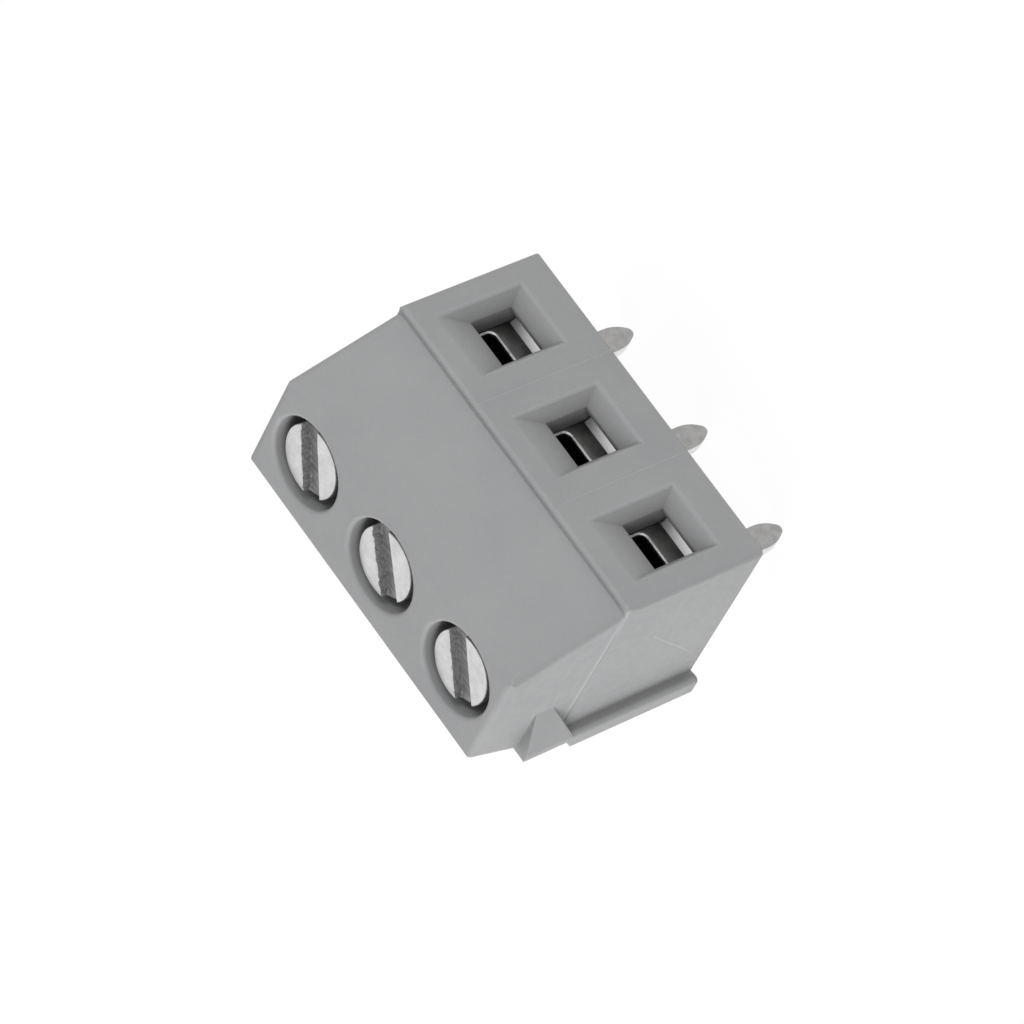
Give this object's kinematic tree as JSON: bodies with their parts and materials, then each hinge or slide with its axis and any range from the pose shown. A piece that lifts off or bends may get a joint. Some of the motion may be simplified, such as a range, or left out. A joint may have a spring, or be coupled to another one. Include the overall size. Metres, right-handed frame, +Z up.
{
  "type": "pcb screw terminal",
  "caption": "Board-mount terminal block with wire entries at the front, slotted clamping screws on top and flat solder pins below.",
  "frame": {"origin": "where the middle solder pin's axis meets the underside that seats on the board", "axes": "+X along the row towards the slotted end, -Y out of the wire entries, +Z up to the screw heads"},
  "size_m": [0.0157, 0.0091, 0.0164],
  "materials": {
    "housing_plastic": "fine satin moulded grey polyamide",
    "frame_plate": "dull nickel plate over steel",
    "contact_plate": "bright tin plate over brass",
    "screw_plate": "pale zinc plate over steel, slightly mottled"
  },
  "bodies": {
    "block": {"housing": "housing_plastic", "clamp_frame_1": "frame_plate", "clamp_frame_2": "frame_plate", "clamp_frame_3": "frame_plate", "contact_1": "contact_plate", "contact_2": "contact_plate", "contact_3": "contact_plate"},
    "plate_1": {"pressure_plate_1": "frame_plate"},
    "screw_1": {"clamping_screw_1": "screw_plate"},
    "plate_2": {"pressure_plate_2": "frame_plate"},
    "screw_2": {"clamping_screw_2": "screw_plate"},
    "plate_3": {"pressure_plate_3": "frame_plate"},
    "screw_3": {"clamping_screw_3": "screw_plate"}
  },
  "joints": [
    {"name": "plate_slide_1", "type": "slide", "parent": "block", "child": "plate_1", "axis": [0, 0, 1], "range_m": [-0.0018, 0]},
    {"name": "screw_turn_1", "type": "hinge", "parent": "plate_1", "child": "screw_1", "pos_m": [-0.00508, -0.00021, 0.0045], "axis": [0, 0, 1], "range_deg": [-1440, 0]},
    {"name": "plate_slide_2", "type": "slide", "parent": "block", "child": "plate_2", "axis": [0, 0, 1], "range_m": [-0.0018, 0]},
    {"name": "screw_turn_2", "type": "hinge", "parent": "plate_2", "child": "screw_2", "pos_m": [0, -0.00021, 0.0045], "axis": [0, 0, 1], "range_deg": [-1440, 0]},
    {"name": "plate_slide_3", "type": "slide", "parent": "block", "child": "plate_3", "axis": [0, 0, 1], "range_m": [-0.0018, 0]},
    {"name": "screw_turn_3", "type": "hinge", "parent": "plate_3", "child": "screw_3", "pos_m": [0.00508, -0.00021, 0.0045], "axis": [0, 0, 1], "range_deg": [-1440, 0]}
  ],
  "couplings": [
    {"joint": "screw_turn_1", "follows": "plate_slide_1", "rad_per_m": 13963},
    {"joint": "screw_turn_2", "follows": "plate_slide_2", "rad_per_m": 13963},
    {"joint": "screw_turn_3", "follows": "plate_slide_3", "rad_per_m": 13963}
  ]
}
